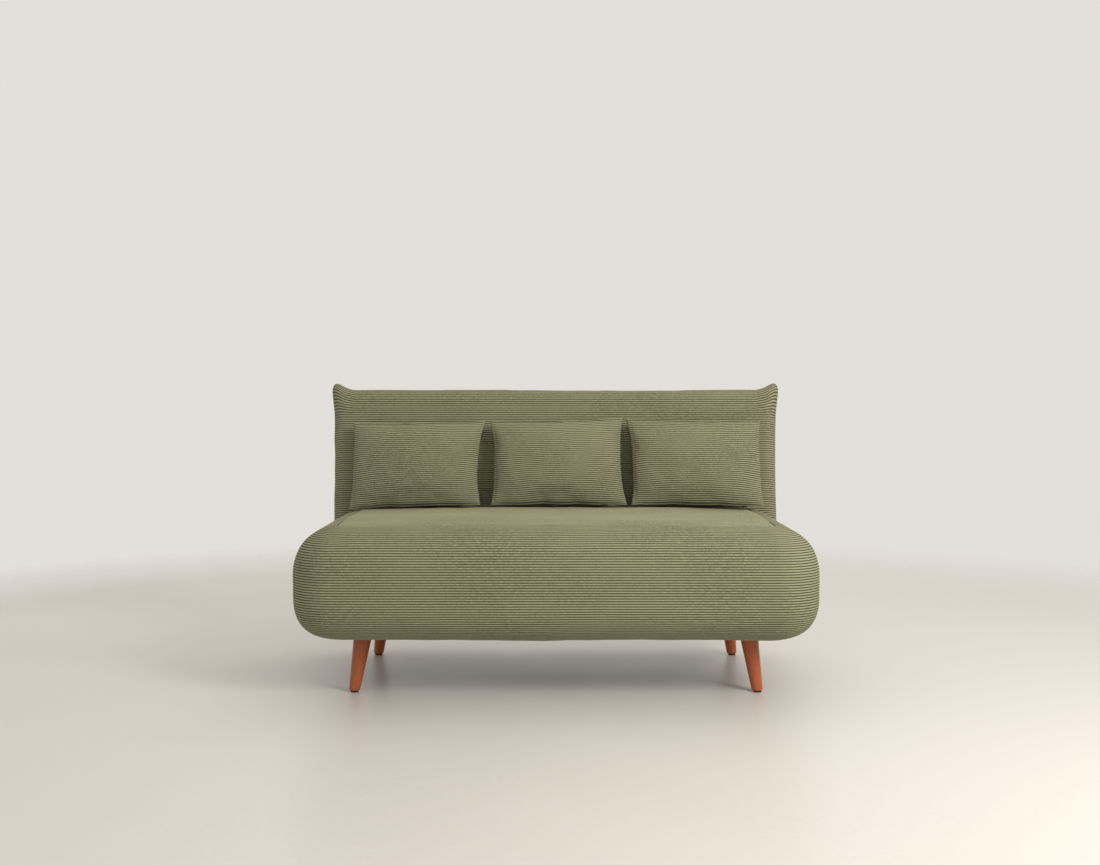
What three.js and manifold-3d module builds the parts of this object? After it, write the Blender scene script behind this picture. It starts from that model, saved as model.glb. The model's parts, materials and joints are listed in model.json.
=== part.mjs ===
// Armless two-seat sofa on four splayed wooden legs, with three loose cushions.
// Millimetres. +X to the right as seen from the front, -Y the front, +Z up.
// The origin is on the floor under the middle of the whole sofa.

import * as THREE from 'three';
import { mergeVertices } from 'three/addons/utils/BufferGeometryUtils.js';
import Module from 'manifold-3d';

const wasm = await Module();
wasm.setup();

const rad = THREE.MathUtils.degToRad;

// ---------- driving dimensions ----------
const GAP = 0.4;                    // clearance between pieces that touch
const CLOTH = 3;                    // thickness of an upholstery cover

const SEAT_WIDTH = 1430;
const SEAT_DEPTH = 820;
const SEAT_NOSE_Y = -421.5;
const SEAT_BOTTOM_Z = 158;
const SEAT_TOP_Z = 465;
const SEAT_CORNER = 140;            // corner radius in plan
const SEAT_EDGE_WIDTH = 132;        // the rolled edge, in plan
const SEAT_EDGE_HEIGHT = 125;       // the rolled edge, in height
const COVER_OPENING = [1090, 470];  // where the cover stays open underneath
const DUST_COVER = [1110, 490];     // laps over that opening
const DUST_CLOTH = 1;

const BACK_WIDTH = 1400;
const BACK_THICKNESS = 160;
const BACK_FACE_Y = 238.5;          // front face of the back where it meets the seat
const BACK_LEAN = rad(4);
const BACK_DROP = 135;              // how far the back reaches down behind the seat's shoulder
const BACK_HEIGHT = 376;            // above the seat, along the lean
const BACK_EDGE = 30;               // rounding of the back's top and bottom edges
const BACK_CORNER = 42;             // rounding of its front corners in plan
const BACK_CORNER_WIDTH = 150;      // rounding of its rear corners in plan
const BACK_CORNER_DEPTH = 110;
const EAR_RISE = 34;                // the top corners stand up
const EAR_FLARE = 14;               // and out
const EAR_RUN = 100;

const RAIL_THICKNESS = 25;
const RAIL_HEIGHT = 100;
const RAIL_BOTTOM_Z = 196;
const FRAME_WIDTH = 1200;
const FRAME_DEPTH = 580;
const FRAME_MID_Y = 8.5;
const CENTER_RAIL_HEIGHT = 80;

const POST_WIDTH = 45;
const POST_THICKNESS = 35;
const POST_SPACING = 450;
const POST_BOTTOM_Z = 205;
const POST_KINK_Z = 300;            // below this the posts stand upright against the rear rail
const POST_LENGTH = 465;            // from the kink to the top, along the lean
const TOP_RAIL_HEIGHT = 40;
const BACK_RAIL_WIDTH = 1240;
const BOARD_THICKNESS = 18;
const BOARD_HEIGHT = 70;
const BOARD_RISE = 215;             // middle of the lower board above the kink
const BOLT_RADIUS = 4;
const BOLT_HEAD_RADIUS = 8;
const BOLT_HEAD = 6;

const FOOT_X = 560;
const FOOT_Y = 255;                 // from the middle of the frame
const LEG_LEAN = Math.atan(Math.SQRT2 * Math.tan(rad(8)));
const LEG_TOP_RADIUS = 26.5;
const LEG_FOOT_RADIUS = 15;
const LEG_BLANK = 200;              // the turned cone before its ends are cut level
const LEG_HOLE_EASE = 6;
const LEG_SEGMENTS = 20;
const GLIDE_RADIUS = 12;
const GLIDE_HEIGHT = 5;
const PLATE_SIZE = 64;
const PLATE_THICKNESS = 3;
const BLOCK_SIZE = 68;
const BLOCK_HEIGHT = 70;
const HANGER_RADIUS = 4;
const HANGER_LENGTH = 60;

const SPRING_COUNT = 5;
const SPRING_SPACING = 230;
const SPRING_WIRE = 1.9;            // wire radius
const SPRING_SWING = 22;
const SPRING_BENDS = 7;
const SPRING_CROWN = 12;
const FELT_THICKNESS = 5;
const FELT_INSET = 8;

const CUSHION_WIDTH = 412;
const CUSHION_HEIGHT = 282;
const CUSHION_THICKNESS = 130;
const CUSHION_LEAN = rad(12);
const CUSHION_FOOT_Y = 151.5;       // where a cushion's lower seam stands on the seat
const CUSHION_FOOT_Z = 468;
const CUSHION_X = { left: -427, middle: 6, right: 432 };
const SEAM_THICKNESS = 6;
const ZIP_LENGTH = 300;

const SEAT_MID_Y = SEAT_NOSE_Y + SEAT_DEPTH / 2;
const FRAME_FRONT_Y = FRAME_MID_Y - FRAME_DEPTH / 2;
const FRAME_REAR_Y = FRAME_MID_Y + FRAME_DEPTH / 2;
const RAIL_TOP_Z = RAIL_BOTTOM_Z + RAIL_HEIGHT;
const SPRING_Z = RAIL_TOP_Z + GAP + SPRING_WIRE;
const FELT_Z = SPRING_Z + SPRING_CROWN + SPRING_WIRE + 2 * GAP;

// ---------- materials ----------
const paint = (color, roughness, metalness = 0) =>
  new THREE.MeshStandardMaterial({ color, roughness, metalness });
const corduroy = () => paint(0x7d7a5c, 0.9);
const timber = () => paint(0xc9a878, 0.7);
const lacquer = () => paint(0x9a5431, 0.35);
const steel = () => paint(0x9a9ca0, 0.35, 1);
const plastic = () => paint(0x151515, 0.5);
const foam = () => paint(0xe4dcc0, 0.95);
const webbing = () => paint(0x2c2b29, 0.9);
const felt = () => paint(0xb9b4aa, 0.95);

// ---------- solids ----------
function toSolid(geometry) {
  const bare = geometry.clone();
  bare.deleteAttribute('normal');
  bare.deleteAttribute('uv');
  const merged = mergeVertices(bare, 1e-3);
  const mesh = new wasm.Mesh({
    numProp: 3,
    vertProperties: new Float32Array(merged.attributes.position.array),
    triVerts: new Uint32Array(merged.index.array),
  });
  return new wasm.Manifold(mesh);
}

function fromSolid(solid) {
  const { vertProperties, triVerts } = solid.getMesh();
  const geometry = new THREE.BufferGeometry();
  geometry.setAttribute('position', new THREE.BufferAttribute(vertProperties, 3));
  geometry.setIndex(new THREE.BufferAttribute(triVerts, 1));
  geometry.computeVertexNormals();
  return geometry;
}

function cut(geometry, ...tools) {
  let solid = toSolid(geometry);
  for (const tool of tools) solid = solid.subtract(toSolid(tool));
  return fromSolid(solid);
}

function box(low, high) {
  const size = high.map((value, axis) => value - low[axis]);
  const middle = high.map((value, axis) => (value + low[axis]) / 2);
  return new THREE.BoxGeometry(...size).translate(...middle);
}

function named(name, geometry, material) {
  const mesh = new THREE.Mesh(geometry, material);
  mesh.name = name;
  return mesh;
}

// A thick outline with rolled edges: an extrusion along Z whose bevels are quarter ellipses.
// grow moves the whole surface out, or in when it is negative.
function rolledSlab(outline, depth, edgeWidth, edgeHeight, grow, segments) {
  const geometry = new THREE.ExtrudeGeometry(outline, {
    depth: depth - 2 * edgeHeight,
    bevelSize: edgeWidth,
    bevelThickness: edgeHeight + grow,
    bevelOffset: grow - edgeWidth,
    bevelSegments: segments,
    curveSegments: 5,
    steps: 1,
  });
  return geometry.translate(0, 0, edgeHeight);
}

// ---------- the seat's upholstery ----------
function seatOutline() {
  const x = SEAT_WIDTH / 2;
  const y = SEAT_DEPTH / 2;
  const r = SEAT_CORNER;
  const outline = new THREE.Shape();
  outline.moveTo(-x + r, -y);
  outline.lineTo(x - r, -y);
  outline.absarc(x - r, -y + r, r, -Math.PI / 2, 0);
  outline.lineTo(x, y - r);
  outline.absarc(x - r, y - r, r, 0, Math.PI / 2);
  outline.lineTo(-x + r, y);
  outline.absarc(-x + r, y - r, r, Math.PI / 2, Math.PI);
  outline.lineTo(-x, -y + r);
  outline.absarc(-x + r, -y + r, r, Math.PI, 1.5 * Math.PI);
  return outline;
}

function seatBody(grow) {
  const height = SEAT_TOP_Z - SEAT_BOTTOM_Z;
  const slab = rolledSlab(seatOutline(), height, SEAT_EDGE_WIDTH, SEAT_EDGE_HEIGHT, grow, 5);
  return slab.translate(0, SEAT_MID_Y, SEAT_BOTTOM_Z);
}

// The hollow under the foam that holds the timber frame, the springs and the felt.
function frameHollow() {
  const x = FRAME_WIDTH / 2 + GAP;
  const top = FELT_Z + FELT_THICKNESS + GAP;
  return box(
    [-x, FRAME_FRONT_Y - GAP, SEAT_BOTTOM_Z - 20],
    [x, FRAME_REAR_Y + GAP, top],
  );
}

function postX() {
  return [-POST_SPACING, 0, POST_SPACING];
}

// Slots for the back posts, wider than the posts by the clearance on every side.
function postSlots() {
  return postX().map((x) => {
    const side = postSide(2 * GAP, 2 * GAP);
    const slot = new THREE.ExtrudeGeometry(side, {
      depth: POST_WIDTH + 4 * GAP,
      bevelEnabled: false,
    });
    return standOnEdge(slot, x - POST_WIDTH / 2 - 2 * GAP);
  });
}

function legHoles() {
  return legPlaces().map((place) => {
    const hole = legCone(LEG_HOLE_EASE);
    hole.rotateZ(place.turn).translate(place.x, place.y, 0);
    return hole;
  });
}

function seatFoam() {
  const headPockets = boltHoles(BOLT_HEAD_RADIUS + 1);
  return cut(seatBody(-CLOTH), frameHollow(), ...postSlots(), ...legHoles(), ...headPockets);
}

function seatCover() {
  const [width, depth] = COVER_OPENING;
  const open = box(
    [-width / 2, FRAME_MID_Y - depth / 2, SEAT_BOTTOM_Z - CLOTH],
    [width / 2, FRAME_MID_Y + depth / 2, SEAT_BOTTOM_Z + 2 * CLOTH],
  );
  return cut(seatBody(0), seatBody(GAP - CLOTH), open, ...postSlots(), ...legHoles());
}

function dustCover() {
  const [width, depth] = DUST_COVER;
  const sheet = box(
    [-width / 2, FRAME_MID_Y - depth / 2, SEAT_BOTTOM_Z - GAP - DUST_CLOTH],
    [width / 2, FRAME_MID_Y + depth / 2, SEAT_BOTTOM_Z - GAP],
  );
  return cut(sheet, ...legHoles());
}

// ---------- the seat's timber frame and springs ----------
function boltHoles(radius = BOLT_RADIUS + 0.5) {
  const length = 2 * (POST_THICKNESS + BOLT_HEAD + 2);
  return boltPlaces().map(([x, z]) => {
    const hole = new THREE.CylinderGeometry(radius, radius, length, 12);
    return hole.translate(x, FRAME_REAR_Y, z);
  });
}

function seatRails() {
  const x = FRAME_WIDTH / 2;
  const inner = x - RAIL_THICKNESS;
  const front = FRAME_FRONT_Y + RAIL_THICKNESS;
  const rear = FRAME_REAR_Y - RAIL_THICKNESS;
  const low = RAIL_BOTTOM_Z;
  const high = RAIL_TOP_Z;
  const centreHigh = low + CENTER_RAIL_HEIGHT;
  const half = RAIL_THICKNESS / 2;
  const rearRail = box([-x, rear, low], [x, FRAME_REAR_Y, high]);
  return [
    named('seat_front_rail', box([-x, FRAME_FRONT_Y, low], [x, front, high]), timber()),
    named('seat_rear_rail', cut(rearRail, ...boltHoles()), timber()),
    named('seat_left_rail', box([-x, front + GAP, low], [-inner, rear - GAP, high]), timber()),
    named('seat_right_rail', box([inner, front + GAP, low], [x, rear - GAP, high]), timber()),
    named('seat_center_rail', box([-half, front + GAP, low], [half, rear - GAP, centreHigh]), timber()),
  ];
}

// A zigzag spring: round wire swinging left and right from the front rail to the rear rail.
class ZigzagCurve extends THREE.Curve {
  getPoint(t, target = new THREE.Vector3()) {
    const length = FRAME_DEPTH - RAIL_THICKNESS;
    return target.set(
      SPRING_SWING * Math.sin(2 * Math.PI * SPRING_BENDS * t),
      (t - 0.5) * length,
      SPRING_CROWN * Math.sin(Math.PI * t),
    );
  }
}

function seatSprings() {
  const section = new THREE.Shape();
  section.absarc(0, 0, SPRING_WIRE, 0, 2 * Math.PI);
  const wire = new THREE.ExtrudeGeometry(section, {
    extrudePath: new ZigzagCurve(),
    steps: 6 * SPRING_BENDS,
    curveSegments: 3,
  });
  return Array.from({ length: SPRING_COUNT }, (_, i) => {
    const spring = named(`seat_spring_${i + 1}`, wire.clone(), steel());
    spring.position.set((i - (SPRING_COUNT - 1) / 2) * SPRING_SPACING, FRAME_MID_Y, SPRING_Z);
    return spring;
  });
}

function springFelt() {
  const x = FRAME_WIDTH / 2 - 8;
  return box(
    [-x, FRAME_FRONT_Y + FELT_INSET, FELT_Z],
    [x, FRAME_REAR_Y - FELT_INSET, FELT_Z + FELT_THICKNESS],
  );
}

// ---------- legs ----------
// Each corner is built once, leaning out along its own +X, and turned to its place.
function legPlaces() {
  const places = [
    ['front_left', -1, -1],
    ['front_right', 1, -1],
    ['rear_left', -1, 1],
    ['rear_right', 1, 1],
  ];
  return places.map(([name, sideX, sideY]) => ({
    name,
    x: sideX * FOOT_X,
    y: FRAME_MID_Y + sideY * FOOT_Y,
    turn: Math.atan2(sideY, sideX),
  }));
}

// Anything round about the leg's leaning axis, from its distance up the axis.
function onLegAxis(radiusTop, radiusFoot, start, length, segments) {
  const rod = new THREE.CylinderGeometry(radiusTop, radiusFoot, length, segments);
  rod.rotateX(Math.PI / 2).translate(0, 0, start + length / 2);
  return rod.rotateY(-LEG_LEAN);
}

function legCone(grow) {
  return onLegAxis(LEG_TOP_RADIUS + grow, LEG_FOOT_RADIUS + grow, 0, LEG_BLANK, LEG_SEGMENTS);
}

function legCorner(name) {
  const plateLow = RAIL_BOTTOM_Z - GAP - PLATE_THICKNESS;
  const legHigh = plateLow - GAP;
  const alongAxis = legHigh / Math.cos(LEG_LEAN);
  const topX = -legHigh * Math.tan(LEG_LEAN);
  const footX = -GLIDE_HEIGHT * Math.tan(LEG_LEAN);

  const hangerStart = alongAxis - HANGER_LENGTH / 2;
  const hanger = onLegAxis(HANGER_RADIUS, HANGER_RADIUS, hangerStart, HANGER_LENGTH, 12);
  const hangerHole = onLegAxis(
    HANGER_RADIUS + GAP, HANGER_RADIUS + GAP, hangerStart - 2, HANGER_LENGTH + 4, 12,
  );
  const above = box([-200, -100, legHigh], [100, 100, 300]);
  const below = box([-100, -100, -50], [100, 100, GLIDE_HEIGHT + GAP]);
  const leg = cut(legCone(0), above, below, hangerHole);

  const plateHalf = PLATE_SIZE / 2;
  const plate = box([-plateHalf, -plateHalf, 0], [plateHalf, plateHalf, PLATE_THICKNESS]);
  plate.rotateZ(Math.PI / 4).translate(topX, 0, plateLow);
  const blockHalf = BLOCK_SIZE / 2;
  const block = box([-blockHalf, -blockHalf, 0], [blockHalf, blockHalf, BLOCK_HEIGHT]);
  block.rotateZ(Math.PI / 4).translate(topX, 0, RAIL_BOTTOM_Z);

  const glide = new THREE.CylinderGeometry(GLIDE_RADIUS, GLIDE_RADIUS - 1, GLIDE_HEIGHT, 20);
  glide.rotateX(Math.PI / 2).translate(footX, 0, GLIDE_HEIGHT / 2);

  return [
    named(`leg_${name}`, leg, lacquer()),
    named(`leg_glide_${name}`, glide, plastic()),
    named(`leg_plate_${name}`, cut(plate, hangerHole), steel()),
    named(`leg_block_${name}`, cut(block, hangerHole), timber()),
    named(`leg_hanger_bolt_${name}`, hanger, steel()),
  ];
}

function legs() {
  return legPlaces().map((place) => {
    const corner = new THREE.Group();
    corner.add(...legCorner(place.name));
    corner.rotation.z = place.turn;
    corner.position.set(place.x, place.y, 0);
    return corner;
  });
}

// ---------- the back's frame ----------
// Side view of a post in (y, z): upright against the rear rail, then leaning back.
function postSide(clear, extra) {
  const front = FRAME_REAR_Y + GAP - clear;
  const rear = FRAME_REAR_Y + GAP + POST_THICKNESS + clear;
  const rise = (POST_LENGTH + extra) * Math.cos(BACK_LEAN);
  const run = (POST_LENGTH + extra) * Math.sin(BACK_LEAN);
  const side = new THREE.Shape();
  side.moveTo(front, POST_BOTTOM_Z - clear);
  side.lineTo(rear, POST_BOTTOM_Z - clear);
  side.lineTo(rear, POST_KINK_Z);
  side.lineTo(rear + run, POST_KINK_Z + rise - (rear - front) * Math.tan(BACK_LEAN));
  side.lineTo(front + run, POST_KINK_Z + rise);
  side.lineTo(front, POST_KINK_Z);
  return side;
}

// Turns an extrusion of a (y, z) outline so that it runs along +X from a given x.
function standOnEdge(geometry, x) {
  return geometry.rotateX(Math.PI / 2).rotateZ(Math.PI / 2).translate(x, 0, 0);
}

// Places things that belong to the leaning back: y from the posts' front face, z up the lean.
function leanPlace() {
  const place = new THREE.Group();
  place.position.set(0, FRAME_REAR_Y + GAP, POST_KINK_Z);
  place.rotation.x = -BACK_LEAN;
  place.updateMatrixWorld();
  return place;
}

function backPosts() {
  const names = ['back_left_post', 'back_center_post', 'back_right_post'];
  return postX().map((x, i) => {
    const post = new THREE.ExtrudeGeometry(postSide(0, 0), { depth: POST_WIDTH, bevelEnabled: false });
    return named(names[i], cut(standOnEdge(post, x - POST_WIDTH / 2), ...boltHoles()), timber());
  });
}

function backRails() {
  const place = leanPlace();
  const x = BACK_RAIL_WIDTH / 2;
  const topLow = POST_LENGTH + GAP;
  const topRail = box([-x, 0, topLow], [x, POST_THICKNESS, topLow + TOP_RAIL_HEIGHT]);
  const boardLow = BOARD_RISE - BOARD_HEIGHT / 2;
  const board = box(
    [-x, -GAP - BOARD_THICKNESS, boardLow],
    [x, -GAP, boardLow + BOARD_HEIGHT],
  );
  place.add(named('back_top_rail', topRail, timber()));
  place.add(named('back_lower_rail', board, timber()));
  for (const [i, rise] of [300, 360, 420].entries()) {
    const strap = box([-x + 30, -GAP - 2, rise - 25], [x - 30, -GAP, rise + 25]);
    place.add(named(`back_webbing_${i + 1}`, strap, webbing()));
  }
  return place;
}

function boltPlaces() {
  return [-POST_SPACING, POST_SPACING].flatMap((x) => [[x, 225], [x, 265]]);
}

// A bolt with its nut drawn up: washer face, shank and nut turned as one profile.
function backBolts() {
  const grip = RAIL_THICKNESS + GAP + POST_THICKNESS + 2 * GAP;
  const profile = [
    [0, -BOLT_HEAD],
    [BOLT_HEAD_RADIUS, -BOLT_HEAD],
    [BOLT_HEAD_RADIUS, 0],
    [BOLT_RADIUS, 0],
    [BOLT_RADIUS, grip],
    [BOLT_HEAD_RADIUS, grip],
    [BOLT_HEAD_RADIUS, grip + BOLT_HEAD],
    [0, grip + BOLT_HEAD],
  ].map(([r, y]) => new THREE.Vector2(r, y));
  return boltPlaces().map(([x, z], i) => {
    const bolt = named(`back_bolt_${i + 1}`, new THREE.LatheGeometry(profile, 12), steel());
    bolt.position.set(x, FRAME_REAR_Y - RAIL_THICKNESS - GAP, z);
    return bolt;
  });
}

// ---------- the back's upholstery ----------
// Plan of the back: tight corners at the front, wide ones behind that follow the seat's corners.
function backOutline() {
  const x = BACK_WIDTH / 2;
  const y = BACK_THICKNESS;
  const front = BACK_CORNER;
  const wide = BACK_CORNER_WIDTH;
  const deep = BACK_CORNER_DEPTH;
  const outline = new THREE.Shape();
  outline.moveTo(-x + EAR_RUN, 0);
  outline.lineTo(x - EAR_RUN, 0);
  outline.lineTo(x - front, 0);
  outline.absarc(x - front, front, front, -Math.PI / 2, 0);
  outline.lineTo(x, y - deep);
  outline.absellipse(x - wide, y - deep, wide, deep, 0, Math.PI / 2);
  outline.lineTo(-x + wide, y);
  outline.absellipse(-x + wide, y - deep, wide, deep, Math.PI / 2, Math.PI);
  outline.lineTo(-x, front);
  outline.absarc(-x + front, front, front, Math.PI, 1.5 * Math.PI);
  return outline;
}

// The top corners rise and flare, most at the front face and not at all at the rear.
function raiseEars(geometry) {
  const position = geometry.attributes.position;
  for (let i = 0; i < position.count; i++) {
    const [x, y, z] = [position.getX(i), position.getY(i), position.getZ(i)];
    const across = THREE.MathUtils.smoothstep(Math.abs(x), BACK_WIDTH / 2 - EAR_RUN, BACK_WIDTH / 2);
    const upward = THREE.MathUtils.smoothstep(z, BACK_HEIGHT - EAR_RUN, BACK_HEIGHT);
    const ear = across * upward * THREE.MathUtils.clamp(1 - y / BACK_THICKNESS, 0, 1);
    position.setX(i, x + Math.sign(x) * EAR_FLARE * ear);
    position.setZ(i, z + EAR_RISE * ear);
  }
  return geometry;
}

function backBody(grow) {
  const height = BACK_DROP + BACK_HEIGHT;
  const slab = rolledSlab(backOutline(), height, BACK_EDGE, BACK_EDGE, grow, 3);
  raiseEars(slab.translate(0, 0, -BACK_DROP));
  return slab.rotateX(-BACK_LEAN).translate(0, BACK_FACE_Y, SEAT_TOP_Z);
}

// The pocket in the back foam, open downwards, that slips over the back frame.
function backPocket() {
  const x = BACK_RAIL_WIDTH / 2 + 2;
  const top = POST_LENGTH + TOP_RAIL_HEIGHT + 3 * GAP;
  const pocket = box(
    [-x, -BOARD_THICKNESS - 2, -200],
    [x, POST_THICKNESS + 1, top],
  );
  return pocket.applyMatrix4(leanPlace().matrixWorld);
}

function backFoam() {
  return cut(backBody(-CLOTH), seatBody(GAP), backPocket());
}

function backCover() {
  return cut(backBody(0), backBody(GAP - CLOTH), seatBody(GAP), backPocket());
}

// ---------- cushions ----------
// Two flat panels sewn round the edge and puffed up: thin at the seam, thickest in the middle.
function pillow(width, height, thickness, seam) {
  const geometry = new THREE.BoxGeometry(width, 1, height, 10, 1, 7);
  const position = geometry.attributes.position;
  for (let i = 0; i < position.count; i++) {
    const u = Math.sin((Math.PI * position.getX(i)) / width);
    const v = Math.sin((Math.PI * position.getZ(i)) / height);
    const puff = Math.sqrt(Math.max(0, (1 - u * u) * (1 - v * v)));
    const y = Math.sign(position.getY(i)) * (seam + (thickness - seam) * puff) / 2;
    position.setXYZ(i, (u * width) / 2, y, (v * height) / 2);
  }
  return geometry.translate(0, 0, CUSHION_HEIGHT / 2);
}

function cushion(side) {
  const slot = box([-ZIP_LENGTH / 2, -1.3, -2], [ZIP_LENGTH / 2, 1.3, 6]);
  const outer = pillow(CUSHION_WIDTH, CUSHION_HEIGHT, CUSHION_THICKNESS, SEAM_THICKNESS);
  const inner = pillow(
    CUSHION_WIDTH - 5, CUSHION_HEIGHT - 5, CUSHION_THICKNESS - 5, SEAM_THICKNESS - 3,
  );
  const filling = pillow(
    CUSHION_WIDTH - 8, CUSHION_HEIGHT - 8, CUSHION_THICKNESS - 8, SEAM_THICKNESS - 4,
  );
  const zip = box(
    [-ZIP_LENGTH / 2 + GAP, -0.9, 0],
    [ZIP_LENGTH / 2 - GAP, 0.9, 3],
  );
  const group = new THREE.Group();
  group.add(named(`cushion_cover_${side}`, cut(outer, inner, slot), corduroy()));
  group.add(named(`cushion_filling_${side}`, filling, foam()));
  group.add(named(`cushion_zip_${side}`, zip, plastic()));
  group.position.set(CUSHION_X[side], CUSHION_FOOT_Y, CUSHION_FOOT_Z);
  group.rotation.x = -CUSHION_LEAN;
  return group;
}

// ---------- the sofa ----------
const sofa = new THREE.Group();
sofa.add(...seatRails());
sofa.add(...seatSprings());
sofa.add(named('spring_felt', springFelt(), felt()));
sofa.add(named('seat_foam', seatFoam(), foam()));
sofa.add(named('seat_cover', seatCover(), corduroy()));
sofa.add(named('dust_cover', dustCover(), webbing()));
sofa.add(...legs());
sofa.add(...backPosts());
sofa.add(backRails());
sofa.add(...backBolts());
sofa.add(named('back_foam', backFoam(), foam()));
sofa.add(named('back_cover', backCover(), corduroy()));
for (const side of Object.keys(CUSHION_X)) sofa.add(cushion(side));

export default sofa;
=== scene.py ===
"""Corduroy sofa on wooden legs: upholstery, loose cushions, legs and studio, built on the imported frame.

Every length is in metres, in the frame's own axes: +X to the right from the front, -Y the front, +Z up.
"""

import json
import math

import bmesh
import bpy
import numpy as np
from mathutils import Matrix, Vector


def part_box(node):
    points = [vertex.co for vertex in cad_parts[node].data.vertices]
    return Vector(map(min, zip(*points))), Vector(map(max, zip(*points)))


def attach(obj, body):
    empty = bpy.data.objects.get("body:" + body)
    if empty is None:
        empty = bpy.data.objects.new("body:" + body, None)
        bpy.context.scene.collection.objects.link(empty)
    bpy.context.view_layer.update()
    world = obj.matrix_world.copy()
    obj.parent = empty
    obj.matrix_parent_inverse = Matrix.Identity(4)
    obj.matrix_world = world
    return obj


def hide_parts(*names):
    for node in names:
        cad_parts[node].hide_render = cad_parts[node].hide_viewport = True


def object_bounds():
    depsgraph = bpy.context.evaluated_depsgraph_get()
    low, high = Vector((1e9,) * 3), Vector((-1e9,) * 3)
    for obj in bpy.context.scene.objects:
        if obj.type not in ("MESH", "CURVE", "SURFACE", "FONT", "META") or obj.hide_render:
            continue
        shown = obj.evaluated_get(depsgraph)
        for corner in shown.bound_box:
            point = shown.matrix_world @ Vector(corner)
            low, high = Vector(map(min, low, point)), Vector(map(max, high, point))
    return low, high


bl_info = {
    "name": "Corduroy Sofa",
    "version": (1, 0, 0),
    "blender": (4, 5, 0),
    "location": "3D View > Sidebar > Sofa",
    "description": "Builds the upholstery, cushions, legs and studio of an armless sofa",
    "category": "Add Mesh",
}

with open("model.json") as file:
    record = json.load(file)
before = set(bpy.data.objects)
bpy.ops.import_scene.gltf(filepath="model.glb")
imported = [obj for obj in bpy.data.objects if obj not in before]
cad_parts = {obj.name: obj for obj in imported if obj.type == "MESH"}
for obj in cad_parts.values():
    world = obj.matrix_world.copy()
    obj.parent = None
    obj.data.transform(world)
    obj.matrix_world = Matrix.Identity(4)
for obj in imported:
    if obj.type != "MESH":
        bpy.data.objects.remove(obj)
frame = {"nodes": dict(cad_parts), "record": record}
CAD_LOW, CAD_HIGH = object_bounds()

CUSHION_SIDES = ("left", "middle", "right")
LEG_CORNERS = ("front_left", "front_right", "rear_left", "rear_right")
SOFA_BODY = "sofa"
FINISH_PREFIX = "sofa_"

ROWS_PER_WALE = 5
SEAT_ROLL_POWER = 2.3  # fullness of the seat's rolled edge, 2 for a plain ellipse
SEAT_PLAN_POWER = 2.2  # fullness of the seat's corners in plan
SEAM_WIDTH = 0.003  # the cloth dips this near a seam
POUCH_GRID = (34, 48)  # rows and columns of the cloth that is filled
POUCH_FRAMES = 21
ZIP_LENGTH = 0.30
ZIP_TOOTH = (0.0012, 0.0010, 0.0014)
ZIP_SLIDER = (0.0075, 0.0030, 0.0030)
ZIP_TAB = (0.016, 0.0012, 0.0050)
DUST_CLOTH_CUT = 0.078  # how far each corner of the dust cloth is cut off along its sides
STAPLE = (0.0105, 0.0011, 0.0007)
STAPLE_SPACING = 0.055
FLOOR_RADIUS = 5.0
FLOOR_FADE = (2.45, 3.5)  # the floor turns into the surround between these distances

# name, place, aim, size, power and tint of each soft light
LIGHTS = (
    ("key", (2.3, -2.5, 2.1), (0.3, 0.0, 0.4), 1.3, 104.0, (1.0, 0.975, 0.94)),
    ("front", (0.2, -6.5, 1.0), (0.0, 0.0, 0.1), 2.6, 42.0, (1.0, 0.99, 0.97)),
    ("rear", (0.0, 6.2, 1.1), (0.0, 0.0, 0.0), 2.6, 90.0, (1.0, 0.99, 0.97)),
    ("top", (0.6, 1.8, 3.6), (0.0, 0.1, 0.4), 2.5, 28.0, (1.0, 0.98, 0.95)),
)
CAMERA_LENS = 42.5  # on a sensor 36 mm wide
CAMERA_PLACE = (-0.0165, CAD_LOW.y - 3.407, 0.835)
CAMERA_TILT = math.radians(-1.83)

# colour, fibre scale, fibre height and roughness of each plain cloth or foam
CLOTHS = {
    "foam": ("foam", 700.0, 0.0010, 0.92),
    "felt": ("felt", 900.0, 0.0008, 0.94),
    "webbing": ("webbing", 1100.0, 0.0005, 0.85),
    "dust_cloth": ("dust_cloth", 900.0, 0.0004, 0.88),
    # the zip takes the painted groove shade colour as its own plain dark colour
    "zip": ("groove", 1200.0, 0.0003, 0.7),
}

# how far each corner of a cushion stands from a plain rectangle, (x, z): bottom left, bottom right,
# top left, top right
CUSHION_CORNERS = {
    "left": ((-0.003, -0.007), (-0.008, 0.005), (0.003, -0.006), (0.007, 0.000)),
    "middle": ((-0.002, 0.006), (0.011, 0.006), (-0.003, -0.001), (0.001, 0.011)),
    "right": ((0.006, 0.007), (0.006, 0.000), (-0.007, 0.006), (0.001, 0.004)),
}
# how far the middle of a cushion's left, right and top edge is drawn in
CUSHION_PULL = {
    "left": (0.004, 0.012, 0.000),
    "middle": (0.007, 0.011, 0.005),
    "right": (0.008, 0.004, 0.002),
}
CUSHION_FAN = 0.007  # how far the ribs spread towards a cushion's sides


# ---------------------------------------------------------------- sizes and colours


def length(name, text, default):
    """A length property in metres."""
    return bpy.props.FloatProperty(
        name=name, description=text, default=default, min=0.0, unit="LENGTH", precision=4
    )


def angle(name, text, degrees):
    """An angle property, given in degrees."""
    return bpy.props.FloatProperty(
        name=name, description=text, default=math.radians(degrees), subtype="ANGLE"
    )


def colour(name, text, rgb):
    """A colour property in linear light."""
    return bpy.props.FloatVectorProperty(
        name=name, description=text, default=rgb, size=3, min=0.0, max=1.0, subtype="COLOR"
    )


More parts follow.
